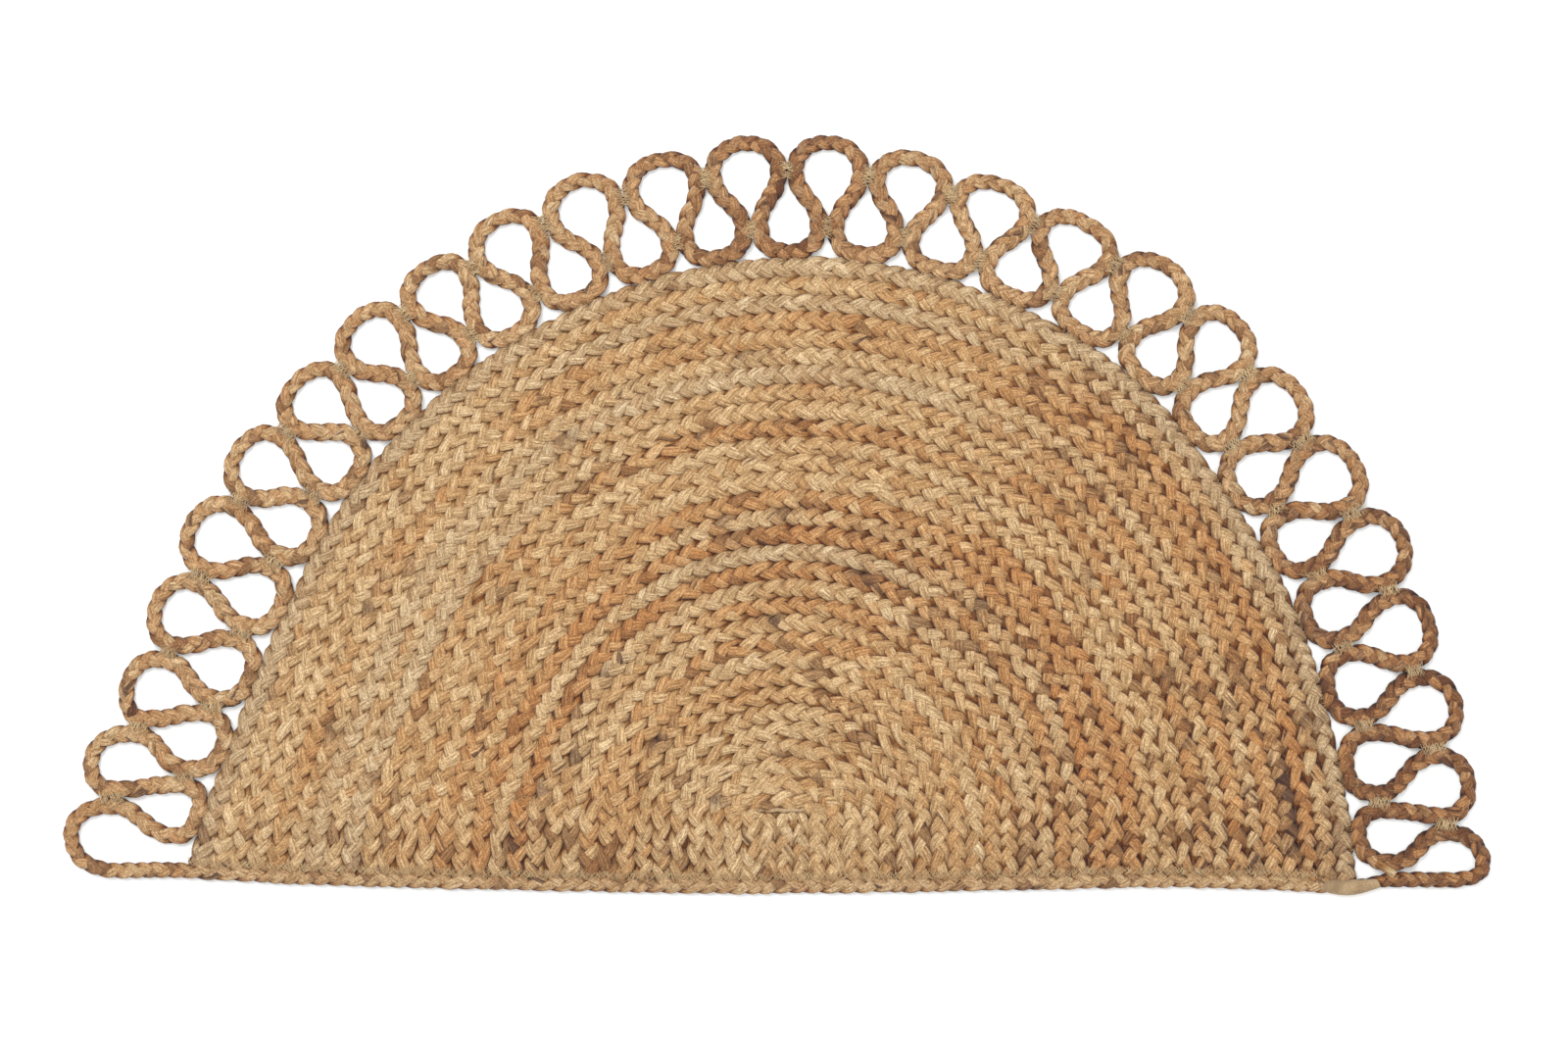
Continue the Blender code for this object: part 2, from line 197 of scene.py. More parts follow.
rowYarns = {  # yarn amounts: rust, pale, ash, and how deep the painted shade in the crevices is, which also brings dark flecks and dark leaves
    "sandy": (0.00, 0.50, 0.00, 0.10),
    "golden": (0.08, 0.28, 0.00, 0.22),
    "honey": (0.28, 0.12, 0.00, 0.42),
    "amber": (0.48, 0.05, 0.00, 0.65),
    "rust": (0.72, 0.00, 0.00, 1.00),
    "dusk": (0.12, 0.36, 0.08, 0.85),
    "pale": (0.00, 0.70, 0.25, 0.08),
    "ash": (0.00, 0.50, 0.45, 0.25),
}

# Yarns of the rows from the start outwards: up to this row, the ones on the left, at the top, on the right
yarnRuns = {
    4: "sandy sandy golden",
    5: "sandy golden dusk",
    6: "golden honey golden",
    7: "honey honey golden",
    8: "honey sandy honey",
    9: "honey amber sandy",
    10: "sandy golden honey",
    11: "golden amber honey",
    12: "dusk sandy dusk",
    13: "rust rust dusk",
    14: "sandy pale amber",
    15: "rust rust dusk",
    16: "golden dusk rust",
    17: "amber amber amber",
    18: "golden sandy rust",
    19: "golden golden golden",
    20: "golden sandy golden",
    21: "honey amber golden",
    22: "pale golden amber",
    23: "sandy golden golden",
    24: "pale pale amber",
    25: "sandy sandy dusk",
    26: "honey honey amber",
    27: "sandy honey amber",
    28: "sandy pale rust",
    29: "sandy golden dusk",
    30: "ash pale ash",
}

rowBraid = {
    "Strands": 3,
    "Side reach": 4.3 * mm,
    "Straightness": 0.97,
    "Pinch": 0.20,
    "Swell": 0.16,  # of the width where a strand lies on top
    "Rise": 1.4 * mm,
    "Flatness": 1.2,
    "Lift": 0.50,
    "Strand width": 6.9 * mm,
    "Strand thickness": 4.7 * mm,
    "Boxiness": 0.90,
    "Middle height": 4.1 * mm,
    "Crown": 1.4 * mm,
    "Ring spacing": 2.6 * mm,
    "Sides": 10,
    "Unevenness": 1.3 * mm,
    "Looseness": 0.22,  # turns
    "Seed": 3,
}
leafPitch = {"arch": 11.3 * mm, "leftLeg": 12.6 * mm, "rightLeg": 11.8 * mm, "start": 12.5 * mm}
rowVariety = {"breadth": (0.93, 1.07), "raised": (-0.4, 0.4), "tightness": (0.90, 1.10)}  # raised in mm
rowWear = {
    "groove": 0.3,  # depth of the seams between the rows, of the braid's crown
    "outerGroove": 0.7,  # more of it in the outer rows on the right
    "innerGroove": 0.2,  # and in those round the start
    "spread": 1.05,  # width of the braid's swing
    "outerSpread": -0.03,
    "press": 0.4,  # flattening at the cut edge
    "pressReach": 9 * mm,
    "legReach": 22 * mm,  # that the legs take to get darker
    # leftDark, rightDark and outerDark raise the dark amount: deeper painted shade in the crevices of the
    # legs and of the outer rows' right end, and more dark flecks and leaves
    "leftDark": 0.6,
    "rightDark": 0.4,
    "outerDark": 0.35,
    "legBrown": 0.12,
}


def yarnAt(row, turn):
    names = next(names for last, names in yarnRuns.items() if row <= last)
    left, top, right = (rowYarns[name] for name in names.split())
    before, after = (left, top) if turn < 90 else (top, right)
    share = ease(turn, 45, 75) if turn < 90 else ease(turn, 105, 135)
    return [a + (b - a) * share for a, b in zip(before, after)]


# Dark brown leaves in a row: pixel of their middle in the photo, length along the row (mm), strength
darkLeaves = (
    (1311, 830, 50, 1.0), (1306, 786, 16, 1.0), (1318, 862, 16, 1.0), (790, 637, 9, 0.8),
    (672, 757, 12, 0.9), (735, 818, 8, 0.7), (745, 545, 24, 0.8), (800, 535, 14, 0.9), (880, 592, 18, 0.9),
    (1143, 465, 10, 0.9), (1106, 592, 12, 0.8), (395, 600, 9, 0.9), (376, 624, 8, 0.7), (340, 742, 12, 0.7),
    (573, 446, 12, 0.9), (620, 690, 9, 0.7), (585, 770, 14, 0.8), (560, 810, 14, 0.7), (1196, 690, 14, 0.8),
    (1205, 755, 12, 0.8), (1330, 735, 14, 0.8), (1000, 620, 12, 0.7), (1218, 822, 12, 0.8),
    (760, 372, 14, 0.6), (1242, 586, 18, 0.7), (918, 272, 8, 0.8),
)
darkRowWidth = 11 * mm


def onRug(x, y):  # place in the frame of a pixel of the photo
    middle = studio["rugMiddle"]
    return Vector((x - middle[0], middle[1] - y)) * studio["pixel"]


def brownAt(place, heading):
    brown = 0
    for x, y, length, strength in darkLeaves:
        step = place - onRug(x, y)
        along = step.dot(heading) / (length / 2 * mm)
        across = step.cross(heading) / (darkRowWidth / 2)
        brown += strength * math.exp(-(along**4) - across**4)
    return min(brown, 1)


def coilLine(share):  # one line round the coil, from the cut edge on the left to the one on the right
    arch = []
    for n in range(coil["archSteps"] + 1):
        turn = 180 * n / coil["archSteps"]
        start = Vector((coil["startHalf"] * (2 * n / coil["archSteps"] - 1), 0))
        arch.append((edgePlace(turn) * share + start * (1 - share), turn))
    left = rowLeg(arch[0][0], 0, coilEdge[0], share)
    right = rowLeg(arch[-1][0], 180, coilEdge[-1], share)
    return left[::-1] + arch + right


def rowLeg(top, archTurn, corner, share):
    rimX = edgePlace(archTurn).x
    cornerX = (outward(corner[0]) * corner[1] * mm).x
    footX = top.x + (cornerX - rimX) * share**2
    footY = cutEdgeY(footX) + cord["width"] / 2 - coil["footOver"]
    footY -= joint["deeper"] * ease(footX, joint["left"] - joint["taper"], joint["left"])
    foot = Vector((footX, footY))
    count = coil["legSteps"]
    return [(top + (foot - top) * n / count, archTurn) for n in range(1, count + 1)]


def shortRow(n):  # one of the upright rows under the start
    x = coil["startHalf"] * (2 * n + 1 - coil["shortRows"]) / coil["shortRows"]
    foot = cutEdgeY(x) + cord["width"] / 2 - coil["footOver"]
    return [(Vector((x, y)), 90) for y in stepsBetween(coil["shortTop"], foot, coil["shortSteps"])]


def dressRow(route, row):  # the route as points with their phase, yarns and pressing
    length = 0
    phase = random.random()
    breadth = random.uniform(*rowVariety["breadth"])
    raised = random.uniform(*rowVariety["raised"]) * mm
    tightness = random.uniform(*rowVariety["tightness"])
    total = sum((b[0] - a[0]).length for a, b in zip(route, route[1:]))
    points = []
    for n, (place, turn) in enumerate(route):
        if n:
            step = (place - route[n - 1][0]).length
            length += step
            heading = (place - route[n - 1][0]).normalized()
            pitch = leafPitch["arch"]
            leg = leafPitch["leftLeg" if turn < 90 else "rightLeg"]
            pitch += (leg - pitch) * abs(math.cos(math.radians(turn))) ** 3
            pitch += (leafPitch["start"] - pitch) * (1 - ease(row, 2, 7))
            phase += step / (3 * pitch * tightness)
        else:
            pitch = leafPitch["leftLeg"]
            heading = (route[1][0] - place).normalized()
        fromEnd = min(length, total - length)
        yarns = dict(zip(("rust", "pale", "ash", "dark"), yarnAt(row, turn)))
        outer = ease(row, 8, 18)
        low = ease(-place.y, 0, rowWear["legReach"])
        yarns["dark"] += (rowWear["leftDark"] if turn < 90 else rowWear["rightDark"] * outer) * low
        yarns["dark"] += rowWear["outerDark"] * outer * ease(turn, 140, 178)
        groove = rowWear["groove"] + rowWear["outerGroove"] * outer * ease(turn, 95, 145)
        points.append({
            **yarns,
            "place": (place + centre).to_3d(),
            "phase": phase,
            "row": float(row),
            "brown": max(brownAt(place + centre, heading), rowWear["legBrown"] * low),
            "groove": groove + rowWear["innerGroove"] * (1 - ease(row, 6, 14)),
            "spread": rowWear["spread"] + rowWear["outerSpread"] * outer * ease(turn, 110, 150),
            "press": rowWear["press"] * (1 - ease(fromEnd, 0, rowWear["pressReach"])),
            "narrow": breadth * (pitch / leafPitch["arch"]) ** 0.45,
            "raised": raised,
        })
    return points


# Route of the cord

def touchReach(turn, tipReach, share):
    edge = edgeReach(turn)
    return edge + share * (tipReach - edge)


def outerTouch(k):
    turn = (loops[k][0] + loops[k + 1][0]) / 2
    return turn, touchReach(turn, (loops[k][1] + loops[k + 1][1]) / 2 * mm, cord["outerTouch"])


def innerTouch(k):
    turn = (loops[k - 1][2] + loops[k][2]) / 2
    return turn, touchReach(turn, loops[k][1] * mm, cord["innerTouch"])


def touchStation(touch, side, way):  # beside a touch of two turns; way is 1 outwards and -1 inwards
    turn, distance = touch
    apart = cord["touchWidth"] * cord["width"] + cord["gap"]
    place = outward(turn) * distance + onward(turn) * side * apart / 2
    return place, outward(turn) * way, cord["touchWidth"]


def footStation(turn):
    along = edgeHeading(turn)
    offEdge = Vector((-along.y, along.x)) * (cord["footWidth"] * cord["width"] / 2 + cord["gap"])
    return edgePlace(turn) + offEdge, along, cord["footWidth"]


def loopStations():  # places that the cord passes in the loops: point, heading, width
    last = len(loops) - 1
    toTheLeft = Vector((-1, 0))
    narrow = cord["touchWidth"]
    stations = [(firstLoopLow, toTheLeft, 1)]
    for k, (tip, tipReach, foot) in enumerate(loops):
        if k > 0:
            stations.append(touchStation(outerTouch(k - 1), 1, 1))
        stations.append((outward(tip) * (tipReach * mm - cord["width"] / 2), onward(tip), 1))
        if k == last:
            break
        stations.append(touchStation(outerTouch(k), -1, -1))
        if k == 0:
            stations.append((firstFootLow, -outward(foot), narrow))
        else:
            stations.append(touchStation(innerTouch(k), 1, -1))
        stations.append(footStation(foot))
        if k + 1 == last:
            stations.append((lastFootLow, outward(foot), narrow))
        else:
            stations.append(touchStation(innerTouch(k + 1), -1, 1))
    stations.append((lastLoopLow, toTheLeft, 1))
    return stations


def bend(a, b):
    grip = cord["slantGrip"] if abs(a[1].dot(b[1])) > cord["sameWay"] else cord["roundGrip"]
    step = b[0] - a[0]
    leave = a[0] + a[1] * grip * abs(step.dot(a[1]))
    arrive = b[0] - b[1] * grip * abs(step.dot(b[1]))
    places = []
    for n in range(cord["bendSteps"]):
        u = n / cord["bendSteps"]
        v = 1 - u
        point = a[0] * v**3 + leave * 3 * u * v * v + arrive * 3 * u * u * v + b[0] * u**3
        places.append((point, a[2] * v + b[2] * u))
    return places


def jointY(x):
    dip = joint["dip"] * math.exp(-(((x - joint["middle"]) / joint["dipSpread"]) ** 2))
    if x <= joint["middle"]:
        return cutEdgeY(x) - dip
    rise = ease(x, joint["middle"], lastRun.x)
    return cutEdgeY(joint["middle"]) - dip + (lastRun.y - cutEdgeY(joint["middle"])) * rise


def cordRoute():  # from the joint along the cut edge, through the loops and back to the joint
    turnIn = joint["left"] - joint["taper"]
    xs = stepsBetween(joint["middle"] - cord["gap"], turnIn, 8)
    xs += stepsBetween(turnIn, cutEdge[0][0] * mm, 120)[1:]
    places = [(Vector((x, jointY(x))), 1) for x in xs]
    stations = loopStations()
    for a, b in zip(stations, stations[1:]):
        places += bend(a, b)
    places += [(lastLoopLow.lerp(lastRun, n / 6), 1) for n in range(7)]
    xs = stepsBetween(joint["right"] + joint["taper"], joint["middle"] + cord["gap"], 8)
    places += [(Vector((x, jointY(x))), 1) for x in xs]
    return places


cordBraid = {
    "Strands": 3,
    "Side reach": 2.7 * mm,
    "Straightness": 0.92,
    "Pinch": 0.16,
    "Swell": 0.12,
    "Rise": 1.5 * mm,
    "Flatness": 1.0,
    "Lift": 0.30,
    "Strand width": 6.0 * mm,
    "Strand thickness": 4.6 * mm,
    "Boxiness": 0.85,
    "Middle height": 4.1 * mm,
    "Crown": 1.0 * mm,
    "Ring spacing": 2.3 * mm,
    "Sides": 10,
    "Unevenness": 0.45 * mm,
    "Looseness": 0.15,
    "Seed": 11,
}
cordSwell = {"tip": 1.02, "touch": 1.17, "binding": 1.08}  # width beside the plain braid's
cordDark = {"top": 0.7, "topWidth": 11, "right": 0.95}  # topWidth in degrees
# dark: how deep the painted shade in the crevices is, with dark flecks and leaves; brown: the yarn's own
# brown stains
bindingYarns = {"rust": 0.25, "pale": 0.0, "ash": 0.38, "dark": 0.95, "brown": 0.0}
loopYarns = {"rust": 0.45, "pale": 0.2, "ash": 0.22, "dark": 0.9, "brown": 0.05}
darkerBy = {"rust": 0.5, "pale": 0.0, "ash": -0.1, "dark": 0.9, "brown": 0.75}  # where loops are darkest
cutStrand = {
    **cordBraid, "Strands": 1, "Side reach": 0.0, "Rise": 0.0, "Crown": 0.0, "Unevenness": 0.0,
    "Strand width": 5.6 * mm, "Strand thickness": 2.4 * mm, "Boxiness": 0.6, "Seed": 5,
}

# The cut strand over the last loop: place from the coil's centre and height over the cord's middle, in mm
cutEnd = (
    (381.4, -33.8, 2.6), (384.6, -35.8, 3.6), (387.6, -37.8, 4.0), (390.2, -39.8, 4.0), (392.6, -41.8, 3.6),
)
cordPitch = {"loops": 9.4 * mm, "binding": 10.3 * mm}  # of the leaves on one side of the cord


def dressCord(places):
    phase = 0
    points = []
    for n, (place, narrow) in enumerate(places):
        turn = math.degrees(math.atan2(place.y, -place.x))
        turn += 360 * (turn < -90)
        binding = place.y < cutEdgeY(place.x) + cord["bindingBand"] and abs(place.x) < cord["bindingReach"]
        dark = cordDark["top"] * math.exp(-(((turn - 90) / cordDark["topWidth"]) ** 2))
        dark += cordDark["right"] * ease(turn, 132, 172)
        fromJoint = max(joint["left"] + joint["taper"] - place.x, place.x - joint["right"], 0)
        press = max(1 - fromJoint / joint["taper"], 0) if place.y < joint["below"] else 0.0
        pressed = min((1 - narrow) / (1 - cord["touchWidth"]), 1)
        swell = cordSwell["tip"] + (cordSwell["touch"] - cordSwell["tip"]) * pressed
        yarns = {key: amount + darkerBy[key] * dark for key, amount in loopYarns.items()}
        if n:
            phase += (place - places[n - 1][0]).length / (3 * cordPitch["binding" if binding else "loops"])
        points.append({
            **(bindingYarns if binding else yarns),
            "place": (place + centre).to_3d(),
            "phase": phase,
            "row": 40.0,
            "groove": 0.5,
            "spread": 1.0,
            "press": press,
            "narrow": (cordSwell["binding"] if binding else swell) * (1 - 0.3 * press),
            "raised": 0.0,
        })
    return points


def cutEndRoute():  # one strand of the cord laid over it, straight, with the values that the plait reads
    plain = dict.fromkeys(("phase", "brown", "groove", "press"), 0.0)
    plain.update(row=45.0, rust=0.15, pale=0.75, ash=0.35, dark=0.3, spread=1.0, narrow=1.0)
    points = []
    for x, y, height in cutEnd:
        place = (Vector((x, y)) * mm + centre).to_3d()
        points.append({**plain, "place": place, "raised": height * mm})
    return points


# Tools for node trees

def newTree(name, sizes):
    tree = bpy.data.node_groups.new(name, "GeometryNodeTree")
    tree.interface.new_socket("Geometry", in_out="INPUT", socket_type="NodeSocketGeometry")
    for label, value in sizes.items():
        kind = "NodeSocketInt" if isinstance(value, int) else "NodeSocketFloat"
        tree.interface.new_socket(label, in_out="INPUT", socket_type=kind).default_value = value
    tree.interface.new_socket("Material", in_out="INPUT", socket_type="NodeSocketMaterial")
    tree.interface.new_socket("Geometry", in_out="OUTPUT", socket_type="NodeSocketGeometry")
    return tree, tree.nodes.new("NodeGroupInput").outputs, tree.nodes.new("NodeGroupOutput").inputs


def treeOf(*values):  # the tree that the sockets among them are in
    return next(value.id_data for value in values if isinstance(value, bpy.types.NodeSocket))


def connect(target, value):  # to another socket, or to a plain value
    if isinstance(value, bpy.types.NodeSocket):
        target.id_data.links.new(value, target)
    else:
        target.default_value = value


def add(tree, kind, inputs=(), output=0, **settings):  # a node; gives back one of its outputs
    node = tree.nodes.new(kind)
    for key, value in settings.items():
        setattr(node, key, value)
    for key, value in dict(inputs).items():
        connect(node.inputs[key], value)
    return node.outputs[output]


def calc(operation, *values, clamp=False):
    return add(treeOf(*values), "ShaderNodeMath", enumerate(values), operation=operation, use_clamp=clamp)


def times(value, *factors):
    for factor in factors:
        value = calc("MULTIPLY", value, factor)
    return value


def plus(value, *others):
    for other in others:
        value = calc("ADD", value, other)
    return value


def timesPlus(value, factor, more):
    return calc("MULTIPLY_ADD", value, factor, more)


def vectors(operation, *values):
    return add(treeOf(*values), "ShaderNodeVectorMath", enumerate(values), operation=operation)


def scaled(vector, factor):
    inputs = {0: vector, "Scale": factor}
    return add(treeOf(vector, factor), "ShaderNodeVectorMath", inputs, operation="SCALE")


def parts(vector):  # its x, y and z
    return add(vector.id_data, "ShaderNodeSeparateXYZ", {0: vector}).node.outputs


def joined(*values):  # x, y and z as one vector
    return add(treeOf(*values), "ShaderNodeCombineXYZ", enumerate(values))


def boxed(wave, power):  # the wave with its crests filled out towards a box
    return times(calc("SIGN", wave), calc("POWER", calc("ABSOLUTE", wave), power))


def stored(tree, name, kind="FLOAT"):
    return add(tree, "GeometryNodeInputNamedAttribute", {"Name": name}, "Attribute", data_type=kind)


def store(geometry, name, value, kind="FLOAT"):
    inputs = {"Geometry": geometry, "Name": name, "Value": value}
    return add(geometry.id_data, "GeometryNodeStoreNamedAttribute", inputs, data_type=kind, domain="POINT")


def position(tree):
    return add(tree, "GeometryNodeInputPosition")


def lengthAlong(tree):
    return add(tree, "GeometryNodeSplineParameter", output="Length")


def wander(place, frequency, seed):  # smooth random value from -0.5 to 0.5
    inputs = {"Vector": place, "W": seed, "Scale": frequency, "Detail": 1.0}
    noise = add(place.id_data, "ShaderNodeTexNoise", inputs, "Fac", noise_dimensions="4D")
    return calc("SUBTRACT", noise, 0.5)


def randomBetween(tree, least, most, seed):
    inputs = {2: least, 3: most, "Seed": seed}
    return add(tree, "FunctionNodeRandomValue", inputs, 1, data_type="FLOAT")


def moved(geometry, **where):  # its points to a Position or by an Offset
    return add(geometry.id_data, "GeometryNodeSetPosition", {"Geometry": geometry, **where})


def circle(tree, sides, radius):
    return add(tree, "GeometryNodeCurvePrimitiveCircle", {"Resolution": sides, "Radius": radius})


def resampled(mesh, step):  # the routes as curves with a point at each step
    line = add(mesh.id_data, "GeometryNodeMeshToCurve", {"Mesh": mesh})
    return add(mesh.id_data, "GeometryNodeResampleCurve", {"Curve": line, "Length": step}, mode="LENGTH")


def sideOffset(way, sideways, upwards):  # across the curve and up from the floor
    side = vectors("NORMALIZE", vectors("CROSS_PRODUCT", way, (0, 0, 1)))
    return vectors("ADD", scaled(side, sideways), scaled((0, 0, 1), upwards))


def swept(line, ring, scale=1.0):  # the ring carried along the line, closed at both ends
    inputs = {"Curve": line, "Profile Curve": ring, "Scale": scale, "Fill Caps": True}
    return add(line.id_data, "GeometryNodeCurveToMesh", inputs)


underside = 0.15 * mm  # nothing reaches lower


def finishTree(tree, size, result, geometry):
    geometry = add(tree, "GeometryNodeSetShadeSmooth", {"Geometry": geometry})
    geometry = add(tree, "GeometryNodeRealizeInstances", {"Geometry": geometry})
    x, y, z = parts(position(tree))
    geometry = moved(geometry, Position=joined(x, y, calc("MAXIMUM", z, underside)))
    inputs = {"Geometry": geometry, "Material": size["Material"]}
    connect(result["Geometry"], add(tree, "GeometryNodeSetMaterial", inputs))
    return tree


# Objects from meshes and trees

def routeMesh(name, routes):  # chains of points with their values as attributes
    points = [point for route in routes for point in route]
    edges = []
    first = 0
    for route in routes:
        edges += [(first + n, first + n + 1) for n in range(len(route) - 1)]
        first += len(route)
    mesh = bpy.data.meshes.new(name)
    mesh.from_pydata([point["place"] for point in points], edges, [])
    for key in points[0]:
        if key != "place":
            mesh.attributes.new(key, "FLOAT", "POINT").data.foreach_set("value", [p[key] for p in points])
    return mesh


def newObject(name, data):
    thing = bpy.data.objects.new(name, data)
    bpy.context.scene.collection.objects.link(thing)
    return thing


def keepResult(piece):  # of its modifiers, as a plain mesh
    depsgraph = bpy.context.evaluated_depsgraph_get()
    made = bpy.data.meshes.new_from_object(piece.evaluated_get(depsgraph))
    piece.modifiers.clear()
    piece.data = made
    made.name = piece.name
    return made


def grow(name, mesh, tree, sizes, material):  # run a tree on a mesh and keep the result as a plain mesh
    piece = newObject(name, mesh)
    modifier = piece.modifiers.new(name, "NODES")
    modifier.node_group = tree
    values = {**sizes, "Material": material}
    for item in tree.interface.items_tree:
        if item.in_out == "INPUT" and item.name in values:
            modifier[item.identifier] = values[item.name]
    made = keepResult(piece)
    made.calc_loop_triangles()
    print(name, len(made.loop_triangles), "triangles")
    return piece


# The plait

wobble = {  # how often a strand's unevenness changes, to a metre
    "turn": 45.0, "rowTurn": 22.0, "side": 60.0, "rowSide": 14.0, "up": 70.0, "roll": 50.0, "fat": 55.0,
}
habit = {
    "up": 0.8,  # of the unevenness sideways
    "fat": 0.75,
    "roll": 1.1,
    "edgeRoll": 0.25,  # where a strand turns at the braid's edge
    "pressedHeight": -0.45,
    "pressedWidth": -0.18,
}


def braidTree():  # strands plaited along each route
    tree, size, result = newTree("plait", rowBraid)
    names = ("strand", "row", "phase", "narrow", "spread", "press", "groove", "raised")
    strand, row, phase, narrow, spread, press, groove, raised = (stored(tree, name) for name in names)
    line = resampled(size["Geometry"], size["Ring spacing"])
    line = store(line, "along", lengthAlong(tree))
    inputs = {"Geometry": line, "Amount": size["Strands"]}
    line = add(tree, "GeometryNodeDuplicateElements", inputs, domain="SPLINE")
    line = store(line, "strand", line.node.outputs["Duplicate Index"])

    # Odd steps between seeds, so that no two strands or rows wander alike
    place = position(tree)
    ownSeed = timesPlus(row, 5.7, timesPlus(strand, 17.3, size["Seed"]))
    rowSeed = timesPlus(row, 3.1, size["Seed"])

    # Each strand swings from edge to edge once a turn and rises over the others twice a turn
    early = times(wander(place, wobble["turn"], ownSeed), size["Looseness"])
    early = timesPlus(wander(place, wobble["rowTurn"], rowSeed), times(size["Looseness"], 4.0), early)
    turns = plus(phase, calc("DIVIDE", strand, size["Strands"]), early)
    angle = times(turns, math.tau)
    straight = calc("ARCSINE", times(calc("SINE", angle), size["Straightness"]))
    sway = calc("DIVIDE", straight, calc("ARCSINE", size["Straightness"]))
    wave = calc("SINE", timesPlus(angle, 2.0, size["Lift"]))
    lift = calc("TANH", times(wave, size["Flatness"]))

    jitter = times(wander(place, wobble["side"], ownSeed), size["Unevenness"])
    drift = times(wander(place, wobble["rowSide"], rowSeed), size["Unevenness"])
    sideways = times(sway, narrow, spread, size["Side reach"])
    sideways = plus(sideways, plus(jitter, drift))
    flat = timesPlus(press, habit["pressedHeight"], 1.0)
    jitterUp = wander(place, wobble["up"], plus(ownSeed, 40.0))
    jitterUp = times(jitterUp, times(size["Unevenness"], habit["up"]))
    upwards = timesPlus(times(lift, flat), size["Rise"], jitterUp)
    atEdge = times(calc("POWER", calc("ABSOLUTE", sway), 4.0), groove)
    upwards = calc("SUBTRACT", upwards, times(atEdge, size["Crown"]))
    height = timesPlus(size["Middle height"], flat, plus(upwards, raised))
    way = add(tree, "GeometryNodeInputTangent")
    offset = sideOffset(way, sideways, height)
    line = store(line, "way", way, "FLOAT_VECTOR")
    line = store(line, "lift", lift)
    line = store(line, "leaf", timesPlus(turns, 2.0, 0.25))
    line = store(line, "sway", sway)
    line = moved(line, Offset=offset)
    line = add(tree, "GeometryNodeSetCurveNormal", {"Curve": line}, mode="Z_UP")
    swayed = stored(tree, "sway")
    roll = wander(place, wobble["roll"], plus(ownSeed, 120.0))
    roll = timesPlus(roll, habit["roll"], times(swayed, habit["edgeRoll"]))
    line = add(tree, "GeometryNodeSetCurveTilt", {"Curve": line, "Tilt": roll})

    # The strand's section: a rounded box, pinched where it turns at the braid's edge
    ring = circle(tree, size["Sides"], 1.0)
    around = position(tree)
    ring = store(ring, "ring", around, "FLOAT_VECTOR")
    across, upright, _ = parts(around)
    across = times(boxed(across, size["Boxiness"]), size["Strand width"], 0.5)
    upright = times(boxed(upright, size["Boxiness"]), size["Strand thickness"], 0.5)
    ring = moved(ring, Position=joined(across, upright, 0.0))
    fat = timesPlus(wander(place, wobble["fat"], plus(ownSeed, 80.0)), habit["fat"], 1.0)
    pinch = times(calc("POWER", calc("ABSOLUTE", swayed), 3.0), size["Pinch"])
    swell = timesPlus(stored(tree, "lift"), size["Swell"], 1.0)
    fat = times(fat, times(calc("SUBTRACT", 1.0, pinch), swell))
    fat = times(fat, timesPlus(press, habit["pressedWidth"], 1.0), narrow)
    return finishTree(tree, size, result, swept(line, ring, fat))


# Colours

def colour(red, green, blue):  # from screen values of 0 to 255
    def linear(c):
        return c / 12.92 if c <= 0.04045 else ((c + 0.055) / 1.055) ** 2.4

    return (linear(red / 255), linear(green / 255), linear(blue / 255), 1)


yarnColour = {
    "golden": colour(199, 162, 113),
    "pale": colour(208, 181, 141),
    "rust": colour(186, 131, 79),
    "ash": colour(175, 156, 129),
    "umber": colour(76, 47, 38),
    "chestnut": colour(102, 60, 36),
    "straw": colour(232, 202, 152),
    "oat": colour(208, 172, 122),
    "wheat": colour(195, 165, 126),
    "hay": colour(165, 136, 101),
    "wisp": colour(228, 204, 160),
    # the next two colour the sheet under the strands: painted shadow for the gaps between them
    "shadowBark": colour(112, 74, 44),
    "shadowTan": colour(140, 92, 54),
}


# Materials

def newMaterial(name, values):  # the values are plain ones, for the shader's sockets
    material = bpy.data.materials.new(name)
    material.use_nodes = True
    shader = material.node_tree.nodes["Principled BSDF"].inputs
    for label, value in values.items():
        shader[label].default_value = value
    return material, material.node_tree, shader


def blendColour(factor, low, high):
    return add(factor.id_data, "ShaderNodeMix", {"Factor": factor, 6: low, 7: high}, 2, data_type="RGBA")


def between(value, low, high, least=0.0, most=1.0):  # least at low, most at high, soft in between
    inputs = {"Value": value, 1: low, 2: high, 3: least, 4: most}
    return add(value.id_data, "ShaderNodeMapRange", inputs, interpolation_type="SMOOTHSTEP")


def attribute(tree, name, output="Fac"):
    return add(tree, "ShaderNodeAttribute", output=output, attribute_name=name)


def noiseAt(vector, frequency, detail=2.0, roughness=0.5):  # frequency: along each axis, to a metre
    inputs = {"Vector": vectors("MULTIPLY", vector, frequency), "Scale": 1.0}
    inputs.update({"Detail": detail, "Roughness": roughness})
    return add(vector.id_data, "ShaderNodeTexNoise", inputs, "Fac")


def bumped(height, strength, distance):
    inputs = {"Strength": strength, "Distance": distance, "Height": height}
    return add(height.id_data, "ShaderNodeBump", inputs)


